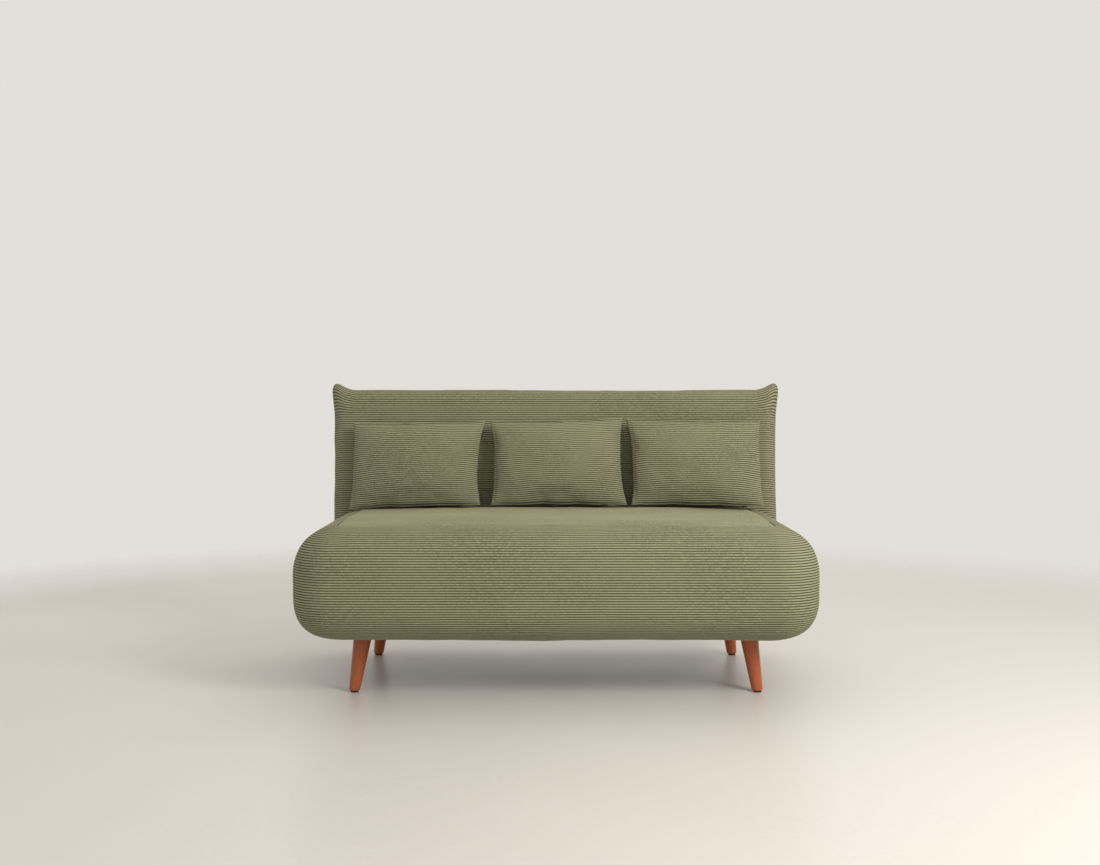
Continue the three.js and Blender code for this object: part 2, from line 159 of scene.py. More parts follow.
class SofaSizes(bpy.types.PropertyGroup):
    """Sizes of the upholstery and the legs."""

    wale_pitch: length("Wale pitch", "From one rib of the corduroy to the next", 0.0070)
    wale_height: length("Wale height", "How far a rib stands above its groove", 0.0019)
    seat_corner: length("Seat corner", "Corner radius of the seat in plan", 0.122)
    seat_roll: length("Seat roll", "Width of the seat's rolled edge in plan", 0.133)
    seat_roll_top: length("Upper roll", "Height of the rolled edge above the side", 0.128)
    seat_roll_bottom: length("Lower roll", "Height of the rolled edge below the side", 0.113)
    seat_seam: length("Seat seam", "How far in from the edge the top panel is sewn", 0.112)
    seat_crown: length("Seat crown", "Rise of the seat towards its middle", 0.013)
    back_width: length("Back width", "Width of the back below its ears", 1.400)
    back_depth: length("Back depth", "Thickness of the back", 0.160)
    back_drop: length("Back drop", "How far the back reaches down behind the seat", 0.135)
    back_rise: length("Back rise", "Height of the back above the seat, along its lean", 0.376)
    back_edge: length("Back edge", "Rounding of the back's top and bottom edges", 0.030)
    back_corner: length("Back corner", "Rounding of the front corners in plan", 0.042)
    back_rear_width: length("Rear corner width", "Rounding of the rear corners, across", 0.150)
    back_rear_depth: length("Rear corner depth", "Rounding of the rear corners, in depth", 0.110)
    back_lean: angle("Back lean", "Lean of the back from upright", 4.0)
    ear_rise: length("Ear rise", "Rise of the back's top corners", 0.037)
    ear_flare: length("Ear flare", "Outward flare of the back's top corners", 0.015)
    cushion_lean: angle("Cushion lean", "Lean of the loose cushions", 12.0)
    cushion_width: length("Cushion width", "Width of a loose cushion", 0.412)
    cushion_height: length("Cushion height", "Height of a loose cushion", 0.282)
    cushion_thickness: length("Cushion thickness", "Thickness of a loose cushion", 0.130)


class SofaColours(bpy.types.PropertyGroup):
    """Colours of the finishes, in linear light."""

    rib: colour("Rib", "Crown of the corduroy's ribs", (0.250, 0.248, 0.153))
    # painted shade: the colour put in the bottom of the grooves between the ribs, much darker than the cloth
    # itself; the zip also uses it as its own plain dark colour
    groove: colour("Groove", "Bottom of the corduroy's grooves", (0.022, 0.021, 0.011))
    pile: colour("Pile", "Sheen of the pile seen along the surface", (0.52, 0.52, 0.38))
    lacquer: colour("Lacquer", "Lacquered wood of the legs", (0.345, 0.092, 0.029))
    grain: colour("Grain", "Dark grain of the legs", (0.20, 0.045, 0.014))
    timber: colour("Timber", "Bare softwood of the inner frame", (0.58, 0.40, 0.22))
    timber_grain: colour("Timber grain", "Grain of the bare softwood", (0.38, 0.22, 0.10))
    steel: colour("Steel", "Zinc plated steel", (0.55, 0.56, 0.58))
    plastic: colour("Plastic", "Black glides", (0.012, 0.012, 0.012))
    dust_cloth: colour("Dust cloth", "Non-woven cloth under the seat", (0.014, 0.014, 0.014))
    felt: colour("Felt", "Felt over the springs", (0.42, 0.40, 0.35))
    webbing: colour("Webbing", "Elastic webbing of the back", (0.035, 0.033, 0.030))
    foam: colour("Foam", "Bare foam", (0.78, 0.70, 0.48))
    floor: colour("Floor", "Studio floor", (0.60, 0.57, 0.525))
    sky: colour("Studio", "Studio surround", (0.768, 0.737, 0.701))


# ---------------------------------------------------------------- meshes


def grid_faces(rows, columns, wrap, first):
    """Corner indices of a grid's quads. A wrapped grid joins its last column to its first."""
    index = np.arange(rows * columns).reshape(rows, columns) + first
    if wrap:
        index = np.hstack([index, index[:, :1]])
    return np.stack(
        [index[:-1, :-1], index[:-1, 1:], index[1:, 1:], index[1:, :-1]], axis=-1
    ).reshape(-1, 4)


def weld(mesh, distance=2e-5):
    """Joins points that lie together, so that grids that meet become one skin."""
    work = bmesh.new()
    work.from_mesh(mesh)
    bmesh.ops.remove_doubles(work, verts=work.verts, dist=distance)
    work.to_mesh(mesh)
    work.free()


def grid_mesh(name, grids, material, welded=False):
    """One object from several grids. A grid is a dict: points, wrap, across, along, caps."""
    points, loops, sizes, across, along = [], [], [], [], []
    first = 0
    for grid in grids:
        rows, columns = grid["points"].shape[:2]
        quads = grid_faces(rows, columns, grid.get("wrap", False), first)
        loops.append(quads.ravel())
        sizes.append(np.full(len(quads), 4))
        for cap in grid.get("caps", ()):
            loops.append(np.asarray(cap).ravel() + first)
            sizes.append(np.array([np.size(cap)]))
        points.append(grid["points"].reshape(-1, 3))
        for values, label in ((across, "across"), (along, "along")):
            values.append(np.broadcast_to(grid.get(label, 0.0), (rows, columns)).ravel())
        first += rows * columns
    points = np.concatenate(points)
    loops = np.concatenate(loops)
    sizes = np.concatenate(sizes)
    mesh = bpy.data.meshes.new(name)
    mesh.vertices.add(len(points))
    mesh.vertices.foreach_set("co", points.ravel())
    mesh.loops.add(len(loops))
    mesh.loops.foreach_set("vertex_index", loops)
    mesh.polygons.add(len(sizes))
    mesh.polygons.foreach_set("loop_start", np.cumsum(sizes) - sizes)
    mesh.update(calc_edges=True)
    mesh.validate()
    for label, values in (("across", across), ("along", along)):
        layer = mesh.attributes.new(label, "FLOAT", "POINT")
        layer.data.foreach_set("value", np.concatenate(values))
    if welded:
        weld(mesh)
    mesh.polygons.foreach_set("use_smooth", np.full(len(mesh.polygons), True))
    mesh.materials.append(material)
    piece = bpy.data.objects.new(name, mesh)
    bpy.context.scene.collection.objects.link(piece)
    return piece


def grid_normals(points, wrap):
    """Unit normals of a grid of points, from its rows and columns."""
    if wrap:
        across_columns = np.roll(points, -1, axis=1) - np.roll(points, 1, axis=1)
    else:
        across_columns = np.gradient(points, axis=1)
    along_rows = np.gradient(points, axis=0)
    normals = np.cross(across_columns, along_rows)
    return normals / np.maximum(np.linalg.norm(normals, axis=2, keepdims=True), 1e-12)


def smoothstep(low, high, value):
    """0 below low, 1 above high, and smooth between them."""
    t = np.clip((value - low) / (high - low), 0.0, 1.0)
    return t * t * (3.0 - 2.0 * t)


def ripple(points, seed, wavelength, waves=7):
    """A smooth random field between about -1 and 1, with bumps of that wavelength."""
    chance = np.random.default_rng(seed)
    total = np.zeros(points.shape[:-1])
    for _ in range(waves):
        direction = chance.normal(size=3)
        direction *= 2.0 * math.pi / (wavelength * chance.uniform(0.7, 1.5) * np.linalg.norm(direction))
        total += np.sin(points @ direction + chance.uniform(0.0, 2.0 * math.pi))
    return total / math.sqrt(waves)


def running_length(points):
    """Distance along a polyline, from its first point."""
    return np.concatenate([[0.0], np.cumsum(np.linalg.norm(np.diff(points, axis=0), axis=1))])


def rib_height(phase):
    """Height of a rib, 0 to 1: a round crown between narrow grooves at whole phases."""
    return np.abs(np.sin(math.pi * phase)) ** 0.62


def seam_dip(distance):
    """1 on a seam, falling to 0 a little way from it."""
    return np.exp(-((distance / SEAM_WIDTH) ** 2))


def roll_fall(inset, roll, fall, power):
    """How far a rolled edge lies under the flat top, at an inset from the side."""
    theta = np.clip(1.0 - inset / roll, 0.0, 1.0)
    return fall * (1.0 - (1.0 - theta**power) ** (1.0 / power))


def crown(x, y, centre, half, rise):
    """Rise of the seat's top over a point: full in the middle, none at the edges."""
    across = 1.0 - np.clip(np.abs(x - centre[0]) / half[0], 0.0, 1.0) ** 3
    depth = 1.0 - np.clip(np.abs(y - centre[1]) / half[1], 0.0, 1.0) ** 3
    return rise * across * depth


# ---------------------------------------------------------------- rolled bodies


def plan_ring(half, centre, corners, inset, reach, counts, power=2.0):
    """Points round a rounded rectangle, counterclockwise from the front right corner.

    corners are (across, depth) radii for the front and the rear. reach is the largest inset, at which
    a corner still keeps a tenth of its radius. counts are points per corner, front, and side.
    """
    corner_count, front_count, side_count = counts
    turn = np.linspace(0.0, math.pi / 2, corner_count)
    arcs = []
    for quarter in range(4):
        theta = turn - math.pi / 2 + quarter * math.pi / 2
        radius = np.array(corners[1] if quarter in (1, 2) else corners[0])
        radius = radius * (1.0 - 0.9 * inset / reach)
        sign = np.array([1.0 if quarter in (0, 1) else -1.0, 1.0 if quarter in (1, 2) else -1.0])
        middle = np.array(centre) + sign * (np.array(half) - inset - radius)
        circle = np.stack([np.cos(theta), np.sin(theta)], axis=1)
        arcs.append(middle + radius * np.sign(circle) * np.abs(circle) ** (2.0 / power))
    ring = []
    for quarter, count in enumerate((side_count, front_count, side_count, front_count)):
        start, end = arcs[quarter][-1], arcs[(quarter + 1) % 4][0]
        steps = np.linspace(0.0, 1.0, count + 1)[1:-1, None]
        ring += [arcs[quarter], start + (end - start) * steps]
    return np.concatenate(ring)


def rolled_profile(roll, low, high, rise, drop, power, start, stop):
    """(inset, height) points up a rolled edge: in under the bottom, out, up the side and over the top."""
    theta = np.linspace(0.0, math.pi / 2, 300)
    lower = np.stack(
        [roll * (1.0 - np.sin(theta) ** (2.0 / power)), low + rise * (1.0 - np.cos(theta) ** (2.0 / power))],
        axis=1,
    )
    upper = np.stack(
        [roll * (1.0 - np.cos(theta) ** (2.0 / power)), high - drop * (1.0 - np.sin(theta) ** (2.0 / power))],
        axis=1,
    )
    curve = np.concatenate([[[start, low]], lower, upper, [[max(roll, stop), high]]])
    travel = running_length(curve)
    keep = np.concatenate([[True], np.diff(travel) > 1e-9])
    curve, travel = curve[keep], travel[keep]
    over_top = curve[:, 1] > (low + high) / 2
    last = np.flatnonzero(over_top & (curve[:, 0] >= stop))[0]
    part = (stop - curve[last - 1, 0]) / (curve[last, 0] - curve[last - 1, 0])
    end = curve[last - 1] + part * (curve[last] - curve[last - 1])
    curve = np.concatenate([curve[:last], [end]])
    return curve, running_length(curve)


def rib_phase(room, pitch):
    """Ribs counted row by row, from one groove to another, for as many whole ribs as there is room."""
    return np.arange(int(room // pitch) * ROWS_PER_WALE + 1) / ROWS_PER_WALE


def rolled_band(plan, profile, pitch, height, shape):
    """Grid of ribs that run level round a rolled body. shape moves the points before ribbing."""
    curve, travel = profile
    phase = rib_phase(travel[-1], pitch)
    reached = travel[-1] - (phase[-1] - phase) * pitch
    inset = np.interp(reached, travel, curve[:, 0])
    level = np.interp(reached, travel, curve[:, 1])
    rings = [plan(value) for value in inset]
    points = np.stack([np.column_stack([ring, np.full(len(ring), z)]) for ring, z in zip(rings, level)])
    points = shape(points, phase)
    points = points + grid_normals(points, True) * (height * rib_height(phase))[:, None, None]
    floor = points[-1].copy()
    floor[:, 2] = floor[:, 2].min() - 0.015
    points = np.concatenate([points, floor[None]])
    outline = np.vstack([rings[len(rings) // 2], rings[len(rings) // 2][:1]])
    along = running_length(outline)[:-1]
    columns = points.shape[1]
    last = (len(points) - 1) * columns
    caps = [np.arange(columns)[::-1], last + np.arange(columns)]
    return {
        "points": points,
        "wrap": True,
        "across": (np.append(phase, phase[-1]) * pitch)[:, None],
        "along": along,
        "caps": caps,
    }


def top_panel(edge, front, rear, pitch, height, surface, columns, dip, hem=0.010):
    """Grid of straight ribs along X. edge(y) is the half width, surface(x, y) the height."""
    phase = rib_phase(rear - front, pitch)
    y = front + phase * pitch
    half = edge(y)
    near_edge = np.array([0.0, 0.0015, 0.003, 0.006, 0.010])
    u = np.linspace(-1.0, 1.0, columns)[1:-1]
    inner = u[None, :] * (half[:, None] - 0.014)
    x = np.hstack([-half[:, None] + near_edge, inner, half[:, None] - near_edge[::-1]])
    yy = np.broadcast_to(y[:, None], x.shape)
    to_side = half[:, None] - np.abs(x)
    to_front = yy - front
    to_seam = np.minimum(to_side, to_front)
    z = surface(x, yy) - dip * np.exp(-((to_seam / (0.3 * hem)) ** 2))
    ribs = height * rib_height(phase)[:, None] * smoothstep(0.0, 0.5 * hem, to_side)
    points = np.stack([x, yy, z + ribs], axis=2)
    rows, count = x.shape
    rim = np.concatenate(
        [
            np.arange(count),
            np.arange(1, rows) * count + count - 1,
            (rows - 1) * count + np.arange(count - 2, -1, -1),
            np.arange(rows - 2, 0, -1) * count,
        ]
    )
    skirt = points.reshape(-1, 3)[rim]
    skirt = np.stack([skirt, skirt - [0.0, 0.0, 0.012]])
    panel = {"points": points, "across": (phase * pitch)[:, None], "along": x + 2.0}
    wall = {"points": skirt[::-1], "wrap": True, "caps": [np.arange(len(rim))[::-1]]}
    return [panel, wall]


# ---------------------------------------------------------------- materials


class Finish:
    """A node material with a Principled shader, and short calls that add and join its nodes."""

    def __init__(self, name, roughness, metallic=0.0):
        self.material = bpy.data.materials.new(FINISH_PREFIX + name)
        self.material.use_nodes = True
        self.tree = self.material.node_tree
        self.shader = self.tree.nodes["Principled BSDF"]
        self.shader.inputs["Roughness"].default_value = roughness
        self.shader.inputs["Metallic"].default_value = metallic

    def node(self, kind, settings=None, **inputs):
        """Adds a node, sets its properties, and sets or links its inputs by name (_ for a space)."""
        node = self.tree.nodes.new(kind)
        for key, value in (settings or {}).items():
            setattr(node, key, value)
        for key, value in inputs.items():
            self.feed(node.inputs[key.replace("_", " ")], value)
        return node

    def feed(self, socket, value):
        """Links an output to a socket, or sets its constant."""
        if isinstance(value, bpy.types.NodeSocket):
            self.tree.links.new(value, socket)
        else:
            socket.default_value = value

    def math(self, operation, *values):
        """A math node's output."""
        node = self.tree.nodes.new("ShaderNodeMath")
        node.operation = operation
        for socket, value in zip(node.inputs, values):
            self.feed(socket, value)
        return node.outputs[0]

    def attribute(self, name):
        """A number stored on the mesh's points."""
        return self.node("ShaderNodeAttribute", {"attribute_name": name}).outputs["Fac"]

    def place(self):
        """The point on the object, in metres."""
        return self.node("ShaderNodeTexCoord").outputs["Object"]

    def vector(self, x, y, z):
        """A vector made of three numbers."""
        return self.node("ShaderNodeCombineXYZ", X=x, Y=y, Z=z).outputs[0]

    def stretch(self, vector, scale):
        """A vector scaled along each axis."""
        node = self.node("ShaderNodeMapping", Vector=vector, Scale=scale)
        return node.outputs[0]

    def noise(self, vector, scale, detail=2.0, roughness=0.5):
        """Smooth noise, 0 to 1."""
        node = self.node(
            "ShaderNodeTexNoise", Vector=vector, Scale=scale, Detail=detail, Roughness=roughness
        )
        return node.outputs["Fac"]

    def spread(self, value, low, high, to_low=0.0, to_high=1.0):
        """A number mapped from one range to another, and kept inside it."""
        node = self.tree.nodes.new("ShaderNodeMapRange")
        for key, number in (
            ("Value", value), ("From Min", low), ("From Max", high), ("To Min", to_low), ("To Max", to_high)
        ):
            self.feed(node.inputs[key], number)
        return node.outputs["Result"]

    def mix(self, factor, first, second, blend="MIX"):
        """A mix of two colours."""
        node = self.tree.nodes.new("ShaderNodeMix")
        node.data_type = "RGBA"
        node.blend_type = blend
        self.feed(node.inputs[0], factor)
        self.feed(node.inputs[6], first)
        self.feed(node.inputs[7], second)
        return node.outputs[2]

    def bump(self, height, distance, strength=1.0):
        """Feeds the shader's normal from a height."""
        node = self.node("ShaderNodeBump", Height=height, Distance=distance, Strength=strength)
        self.feed(self.shader.inputs["Normal"], node.outputs["Normal"])

    def base(self, value):
        """Feeds the shader's base colour."""
        self.feed(self.shader.inputs["Base Color"], value)

    def rough(self, value):
        """Feeds the shader's roughness."""
        self.feed(self.shader.inputs["Roughness"], value)


def rgba(values, factor=1.0):
    """A four-channel colour from three channels, made lighter or darker by factor."""
    return tuple(min(1.0, value * factor) for value in values) + (1.0,)


def corduroy(colours, pitch):
    """Ribbed pile: painted shade in the grooves, broken pile along each rib, and patches where the nap lies
    over.
    """
    finish = Finish("corduroy", 0.86)
    across = finish.attribute("across")
    along = finish.attribute("along")
    wale = finish.math("DIVIDE", across, pitch)
    phase = finish.math("FRACT", wale)
    edge = finish.math("ABSOLUTE", finish.math("SUBTRACT", finish.math("MULTIPLY", phase, 2.0), 1.0))
    number = finish.math("FLOOR", wale)
    on_rib = finish.vector(
        finish.math("MULTIPLY", along, 150.0), finish.math("MULTIPLY", number, 3.7), phase
    )
    tufts = finish.noise(on_rib, 1.0, 3.0, 0.65)
    place = finish.place()
    nap = finish.noise(finish.stretch(place, (3.0, 7.0, 7.0)), 1.0, 2.0, 0.5)
    fibre = finish.noise(place, 1500.0, 2.0, 0.6)
    # painted shade: this mask darkens the grooves between the ribs towards the groove shade colour
    groove = finish.spread(edge, 0.38, 0.88)
    rib = finish.mix(finish.spread(tufts, 0.32, 0.70), rgba(colours.rib, 0.72), rgba(colours.rib, 1.28))
    rib = finish.mix(finish.spread(nap, 0.35, 0.68), rib, rgba(colours.rib, 1.12))
    shade = finish.mix(groove, rib, rgba(colours.groove))
    fuzz = finish.mix(finish.spread(fibre, 0.35, 0.75, 0.0, 0.28), shade, rgba(colours.rib, 0.62))
    finish.base(fuzz)
    finish.rough(finish.spread(tufts, 0.2, 0.8, 0.80, 0.95))
    height = finish.math("ADD", finish.math("MULTIPLY", tufts, 0.7), finish.math("MULTIPLY", fibre, 0.3))
    finish.bump(height, 0.0009, 0.8)
    finish.shader.inputs["Sheen Weight"].default_value = 0.12
    finish.shader.inputs["Sheen Roughness"].default_value = 0.45
    finish.shader.inputs["Sheen Tint"].default_value = rgba(colours.pile)
    finish.shader.inputs["Specular IOR Level"].default_value = 0.15
    return finish.material


def lacquered_wood(colours):
    """Satin lacquer over straight grain that runs up the leg."""
    finish = Finish("lacquered_wood", 0.34)
    along = finish.attribute("along")
    around = finish.attribute("across")
    turn = finish.vector(
        finish.math("COSINE", around), finish.math("SINE", around), finish.math("MULTIPLY", along, 2.2)
    )
    streak = finish.noise(finish.stretch(turn, (6.0, 6.0, 3.0)), 1.0, 4.0, 0.6)
    pore = finish.noise(finish.stretch(turn, (48.0, 48.0, 14.0)), 1.0, 3.0, 0.6)
    tone = finish.mix(finish.spread(streak, 0.35, 0.68), rgba(colours.lacquer), rgba(colours.grain, 1.5))
    tone = finish.mix(finish.spread(pore, 0.58, 0.75, 0.0, 0.55), tone, rgba(colours.grain))
    finish.base(tone)
    finish.rough(finish.spread(streak, 0.3, 0.7, 0.28, 0.42))
    finish.bump(pore, 0.00012, 0.5)
    finish.shader.inputs["Coat Weight"].default_value = 0.12
    finish.shader.inputs["Coat Roughness"].default_value = 0.22
    finish.shader.inputs["Specular IOR Level"].default_value = 0.30
    return finish.material


def bare_timber(colours):
    """Sawn softwood with stretched grain."""
    finish = Finish("frame_timber", 0.7)
    grain = finish.noise(finish.stretch(finish.place(), (9.0, 60.0, 60.0)), 1.0, 4.0, 0.6)
    fibre = finish.noise(finish.stretch(finish.place(), (60.0, 500.0, 500.0)), 1.0, 2.0, 0.5)
    finish.base(finish.mix(finish.spread(grain, 0.4, 0.65), rgba(colours.timber), rgba(colours.timber_grain)))
    finish.rough(finish.spread(fibre, 0.3, 0.7, 0.62, 0.8))
    finish.bump(fibre, 0.0004, 0.5)
    return finish.material


def zinc_steel(colours):
    """Zinc plated steel with faint spangle."""
    finish = Finish("zinc_steel", 0.35, 1.0)
    spangle = finish.noise(finish.place(), 160.0, 2.0, 0.5)
    finish.base(finish.mix(finish.spread(spangle, 0.3, 0.7), rgba(colours.steel, 0.8), rgba(colours.steel)))
    finish.rough(finish.spread(spangle, 0.3, 0.7, 0.28, 0.46))
    finish.bump(spangle, 0.0001, 0.3)
    return finish.material


def cloth(name, base, scale, lift, roughness):
    """A dull cloth or felt: mottled colour and a fine fibre bump."""
    finish = Finish(name, roughness)
    fibre = finish.noise(finish.place(), scale, 3.0, 0.65)
    patch = finish.noise(finish.place(), scale * 0.04, 2.0, 0.5)
    tone = finish.mix(finish.spread(fibre, 0.3, 0.7), rgba(base, 0.7), rgba(base, 1.3))
    finish.base(finish.mix(finish.spread(patch, 0.4, 0.7, 0.0, 0.5), tone, rgba(base, 0.85)))
    finish.rough(finish.spread(fibre, 0.2, 0.8, roughness - 0.08, min(1.0, roughness + 0.05)))
    finish.bump(fibre, lift, 0.7)
    return finish.material


def moulded_plastic(colours):
    """Fine-grained black plastic, scuffed where it slides."""
    finish = Finish("black_plastic", 0.45)
    skin = finish.noise(finish.place(), 1400.0, 2.0, 0.5)
    scuff = finish.noise(finish.place(), 220.0, 3.0, 0.6)
    worn = finish.spread(scuff, 0.6, 0.8, 0.0, 0.4)
    finish.base(finish.mix(worn, rgba(colours.plastic), rgba(colours.plastic, 4.0)))
    finish.rough(finish.spread(scuff, 0.3, 0.8, 0.38, 0.62))
    finish.bump(skin, 0.00008, 0.5)
    return finish.material


def finish_for(scene, slot):
    """The material of one record slot, made on first use."""
    made = bpy.data.materials.get(FINISH_PREFIX + slot)
    if made:
        return made
    colours = scene.sofa_colours
    if slot == "corduroy":
        return corduroy(colours, scene.sofa_sizes.wale_pitch)
    if slot in CLOTHS:
        base, scale, lift, roughness = CLOTHS[slot]
        return cloth(slot, getattr(colours, base), scale, lift, roughness)
    makers = {
        "lacquered_wood": lacquered_wood,
        "frame_timber": bare_timber,
        "zinc_steel": zinc_steel,
        "black_plastic": moulded_plastic,
    }
    return makers[slot](colours)


def settle(piece, body, replaced=()):
    """Parents a finished piece to its body and hides the CAD nodes it stands for."""
    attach(piece, body)
    if replaced:
        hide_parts(*replaced)
    return piece


# ---------------------------------------------------------------- operators


class SOFA_OT_seat(bpy.types.Operator):
    """Upholster the seat: a ribbed band that rolls round all four sides, and a top panel sewn into it"""

    bl_idname = "sofa.seat"
    bl_label = "Seat Upholstery"

    def execute(self, context):
        sizes = context.scene.sofa_sizes
        low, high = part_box("seat_cover")
        half = ((high.x - low.x) / 2 - sizes.wale_height, (high.y - low.y) / 2 - sizes.wale_height)
        centre = ((high.x + low.x) / 2, (high.y + low.y) / 2)
        corner = sizes.seat_corner
        reach = sizes.seat_roll + 0.004
        top = high.z - sizes.wale_height

        def plan(inset):
            corners = ((corner, corner), (corner, corner))
            return plan_ring(half, centre, corners, inset, reach, (22, 40, 14), SEAT_PLAN_POWER)

        def rise(x, y):
            return crown(x, y, centre, half, sizes.seat_crown)

        def shape(points, phase):
            x, y, z = points[..., 0], points[..., 1], points[..., 2]
            upper = smoothstep((low.z + top) / 2, top, z)
            to_seam = (phase[-1] - phase)[:, None] * sizes.wale_pitch
            moved = points.copy()
            moved[..., 2] += upper * rise(x, y) - 0.0012 * seam_dip(to_seam)
            soft = 0.0012 * ripple(points, 11, 0.34) + 0.0005 * ripple(points, 12, 0.09)
            return moved + grid_normals(points, True) * soft[..., None]

        profile = rolled_profile(
            sizes.seat_roll, low.z, top, sizes.seat_roll_bottom, sizes.seat_roll_top, SEAT_ROLL_POWER,
            reach, sizes.seat_seam,
        )
        band = rolled_band(plan, profile, sizes.wale_pitch, sizes.wale_height, shape)

        seam_ring = plan(sizes.seat_seam)
        front = low.y + sizes.seat_seam
        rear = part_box("back_cover")[0].y + 0.06
        right = seam_ring[seam_ring[:, 0] > centre[0]]
        order = np.argsort(right[:, 1])

        def half_width(y):
            return np.interp(y, right[order, 1], right[order, 0] - centre[0])

        def surface(x, y):
            inset = sizes.seat_seam + np.minimum(half_width(y) - np.abs(x), y - front)
            fall = roll_fall(inset, sizes.seat_roll, sizes.seat_roll_top, SEAT_ROLL_POWER)
            flat = np.stack([x, y, np.zeros_like(x)], axis=-1)
            soft = 0.0012 * ripple(flat, 13, 0.30) + 0.0005 * ripple(flat, 14, 0.09)
            return top - fall + rise(x, y) + soft

        panel = top_panel(
            half_width, front, rear, sizes.wale_pitch, sizes.wale_height, surface, 44, 0.0012
        )
        material = finish_for(context.scene, "corduroy")
        piece = grid_mesh("seat_upholstery", [band, *panel], material, True)
        settle(piece, SOFA_BODY, ("seat_cover", "seat_foam"))
        return {"FINISHED"}


class SOFA_OT_back(bpy.types.Operator):
    """Upholster the back: ribs level round it, rolled top edges, and peaked front corners"""

    bl_idname = "sofa.back"
    bl_label = "Back Upholstery"

    def execute(self, context):
        sizes = context.scene.sofa_sizes
        seat_low, seat_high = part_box("seat_cover")
        low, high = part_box("back_cover")
        cosine, sine = math.cos(sizes.back_lean), math.sin(sizes.back_lean)
        half = (sizes.back_width / 2 - sizes.wale_height, sizes.back_depth / 2 - sizes.wale_height)
        centre = (0.0, sizes.back_depth / 2)
        face_y = high.y - sizes.back_depth * cosine - (sizes.back_rise - sizes.back_edge) * sine
        front_corner = (sizes.back_corner, sizes.back_corner)
        rear_corner = (sizes.back_rear_width, sizes.back_rear_depth)
        reach = sizes.back_edge * 1.3
        seam = sizes.back_edge * 0.85
        bottom, top = -sizes.back_drop, sizes.back_rise - sizes.wale_height

        def plan(inset):
            return plan_ring(half, centre, (front_corner, rear_corner), inset, reach, (16, 52, 3))

        def ears(points):
            x, y, z = points[..., 0], points[..., 1], points[..., 2]
            frontness = np.clip(1.0 - y / sizes.back_depth, 0.0, 1.0)
            horn = smoothstep(half[0] - 0.070, half[0] - 0.004, np.abs(x)) ** 1.5 * frontness
            flare = smoothstep(half[0] - 0.10, half[0], np.abs(x)) * frontness
            moved = points.copy()
            moved[..., 2] += sizes.ear_rise * horn * smoothstep(top - 0.09, top, z)
            moved[..., 0] += np.sign(x) * sizes.ear_flare * flare * smoothstep(top - 0.08, top, z)
            return moved

        def puff(points):
            x, y, z = points[..., 0], points[..., 1], points[..., 2]
            across = 1.0 - np.clip(np.abs(x) / half[0], 0.0, 1.0) ** 4
            upward = 1.0 - np.clip(np.abs(z - 0.13) / 0.25, 0.0, 1.0) ** 4
            moved = points.copy()
            moved[..., 1] -= 0.006 * across * upward * (y < centre[1])
            return moved

        def soft(points):
            return 0.0010 * ripple(points, 21, 0.30) + 0.0005 * ripple(points, 22, 0.08)

        def shape(points, phase):
            y = points[..., 1]
            to_seam = (phase[-1] - phase)[:, None] * sizes.wale_pitch
            moved = puff(ears(points))
            wrapped = smoothstep(0.0, sizes.back_corner, y) * (1.0 - smoothstep(0.09, 0.15, y))
            fading = smoothstep(0.02, 0.08, to_seam)
            moved[..., 2] -= 0.006 * wrapped * fading + 0.002 * seam_dip(to_seam)
            return moved + grid_normals(points, True) * soft(points)[..., None]

        profile = rolled_profile(
            sizes.back_edge, bottom, top, sizes.back_edge, sizes.back_edge, 2.0, reach, seam
        )
        band = rolled_band(plan, profile, sizes.wale_pitch, sizes.wale_height, shape)

        ring = plan(seam)
        right = ring[ring[:, 0] > 0.0]
        order = np.argsort(right[:, 1])

        def half_width(y):
            return np.interp(y, right[order, 1], right[order, 0])

        def surface(x, y):
            to_long_side = np.minimum(y - seam, sizes.back_depth - seam - y)
            inset = seam + np.minimum(half_width(y) - np.abs(x), to_long_side)
            level = top - roll_fall(inset, sizes.back_edge, sizes.back_edge, 2.0)
            return level + soft(np.stack([x, y, level], axis=-1))

        panel = top_panel(
            half_width, seam, sizes.back_depth - seam, sizes.wale_pitch, sizes.wale_height,
            surface, 90, 0.002,
        )
        for grid in panel:
            grid["points"] = ears(grid["points"])
        for grid in (band, *panel):
            local = grid["points"]
            y, z = local[..., 1].copy(), local[..., 2].copy()
            local[..., 1] = face_y + y * cosine + z * sine
            local[..., 2] = seat_high.z - y * sine + z * cosine
        material = finish_for(context.scene, "corduroy")
        piece = grid_mesh("back_upholstery", [band, *panel], material, True)
        settle(piece, SOFA_BODY, ("back_cover", "back_foam"))
        return {"FINISHED"}


def pouch(rows, columns, width, height, plump):
    """Two shaped panels sewn together at the rim: points, faces, and the grid indices of each panel."""
    u = np.linspace(-1.0, 1.0, columns + 1)
    v = np.linspace(-1.0, 1.0, rows + 1)
    grid_u, grid_v = np.meshgrid(u, v)
    bulge = plump * ((1.0 - grid_u**2) * (1.0 - grid_v**2)) ** 0.55
    front = np.stack([grid_u * width / 2, -bulge, grid_v * height / 2], axis=-1)
    rear = front * [1.0, -1.0, 1.0]
    count = (rows + 1) * (columns + 1)
    front_index = np.arange(count).reshape(rows + 1, columns + 1)
    rear_index = front_index.copy()
    inner = (rows - 1) * (columns - 1)
    rear_index[1:-1, 1:-1] = count + np.arange(inner).reshape(rows - 1, columns - 1)
    points = np.vstack([front.reshape(-1, 3), rear[1:-1, 1:-1].reshape(-1, 3)])
    faces = []
    for index, flip in ((front_index, False), (rear_index, True)):
        quads = np.stack([index[:-1, :-1], index[:-1, 1:], index[1:, 1:], index[1:, :-1]], axis=-1)
        faces.append(quads.reshape(-1, 4)[:, ::-1] if flip else quads.reshape(-1, 4))
    return points, np.vstack(faces), front_index, rear_index


